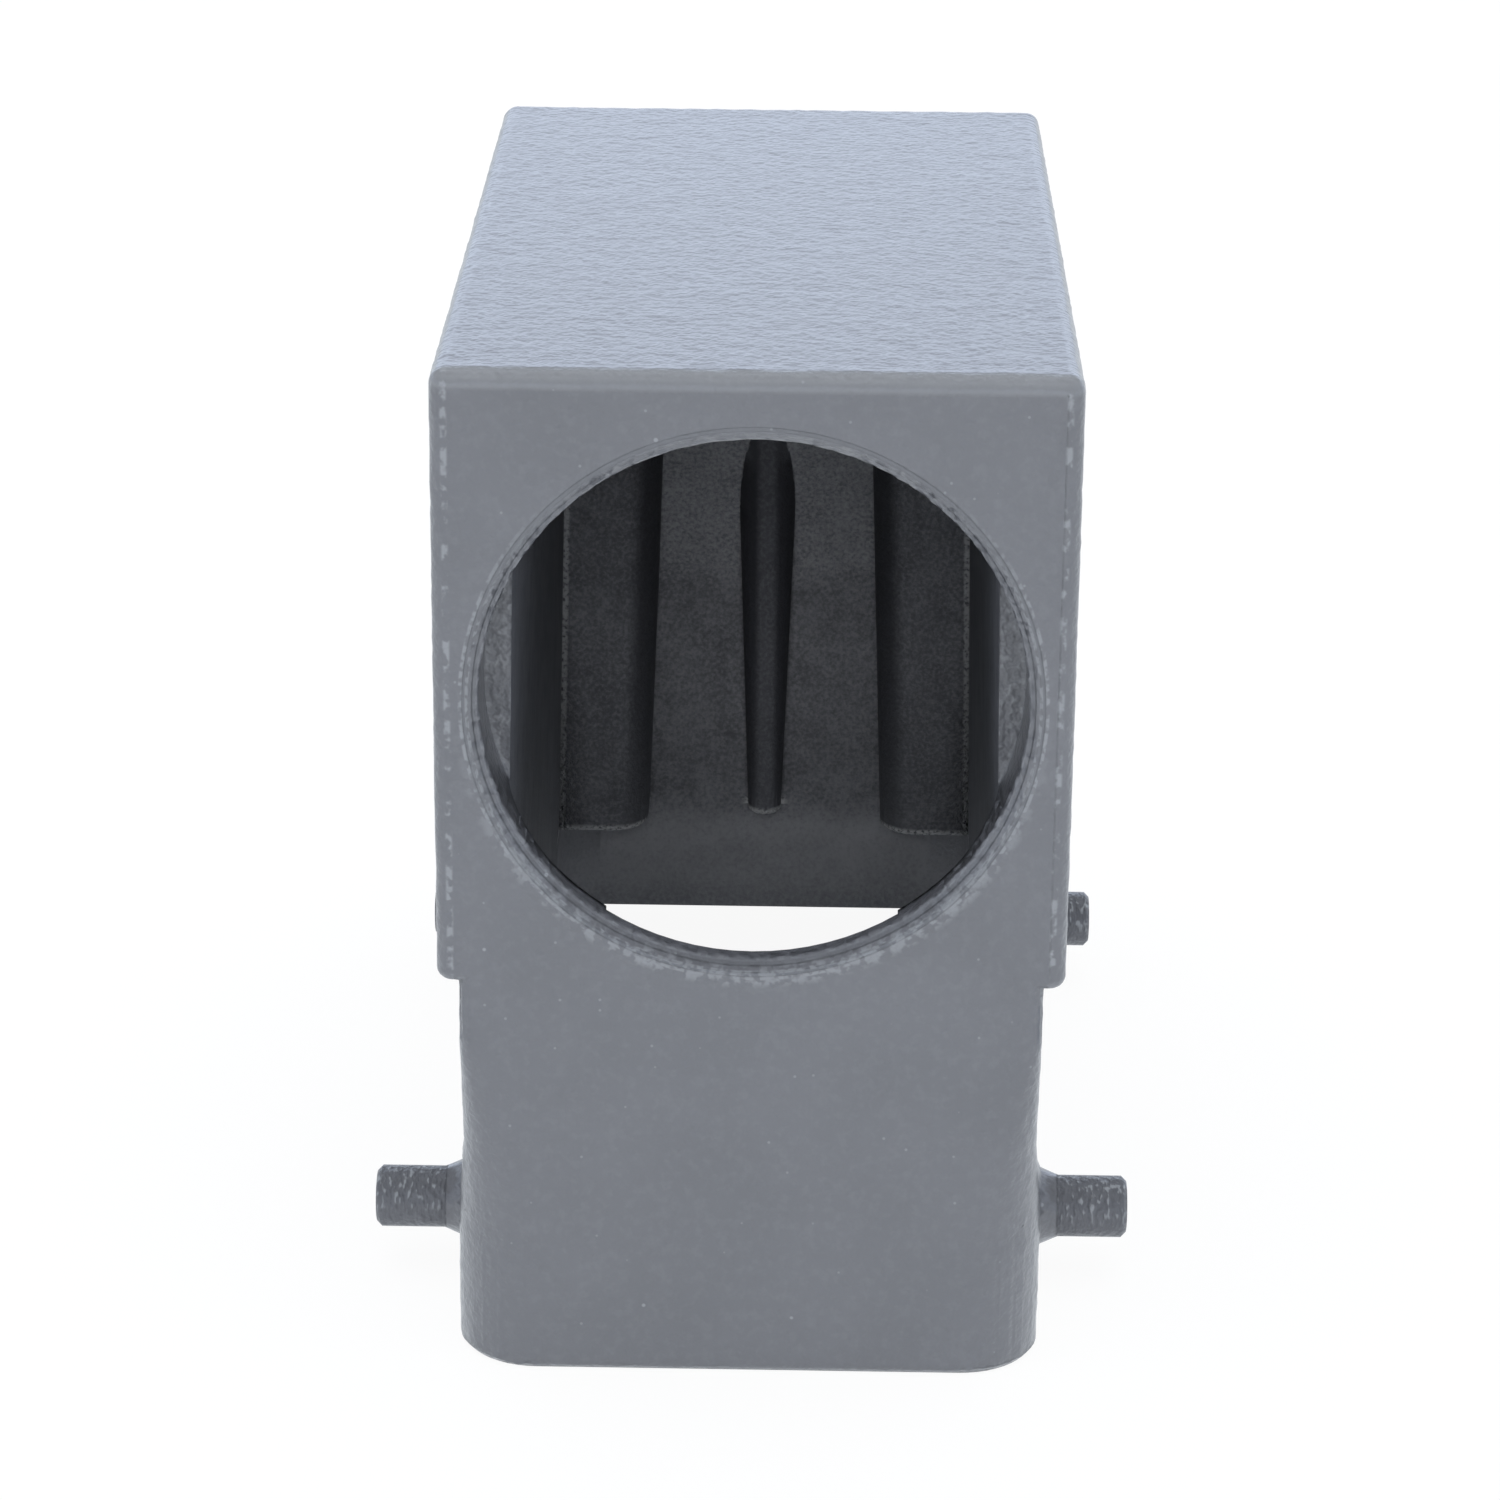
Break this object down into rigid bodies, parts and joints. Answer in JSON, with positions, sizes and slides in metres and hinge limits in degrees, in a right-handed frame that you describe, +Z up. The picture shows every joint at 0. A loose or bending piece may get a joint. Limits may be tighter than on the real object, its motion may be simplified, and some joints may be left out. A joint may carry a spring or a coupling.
{
  "type": "heavy duty rectangular connector hood",
  "caption": "Empty die-cast hood of a heavy duty rectangular connector: open rectangular rim below, round side cable entry, slanted back, locking pegs and insert screw bosses.",
  "frame": {"origin": "centre of the open rim, in the plane that the rim stands on", "axes": "+Z up from the rim to the closed top; Y along the hood, with the round cable entry facing -Y and the slanted back at +Y; X across the hood, along the locking pegs"},
  "size_m": [0.0574, 0.0936, 0.076],
  "materials": {
    "hood": "semi-matte grey powder coat with an orange-peel grain over die-cast aluminium, bare and dark inside"
  },
  "bodies": {
    "root": {"hood": "hood"}
  },
  "joints": []
}
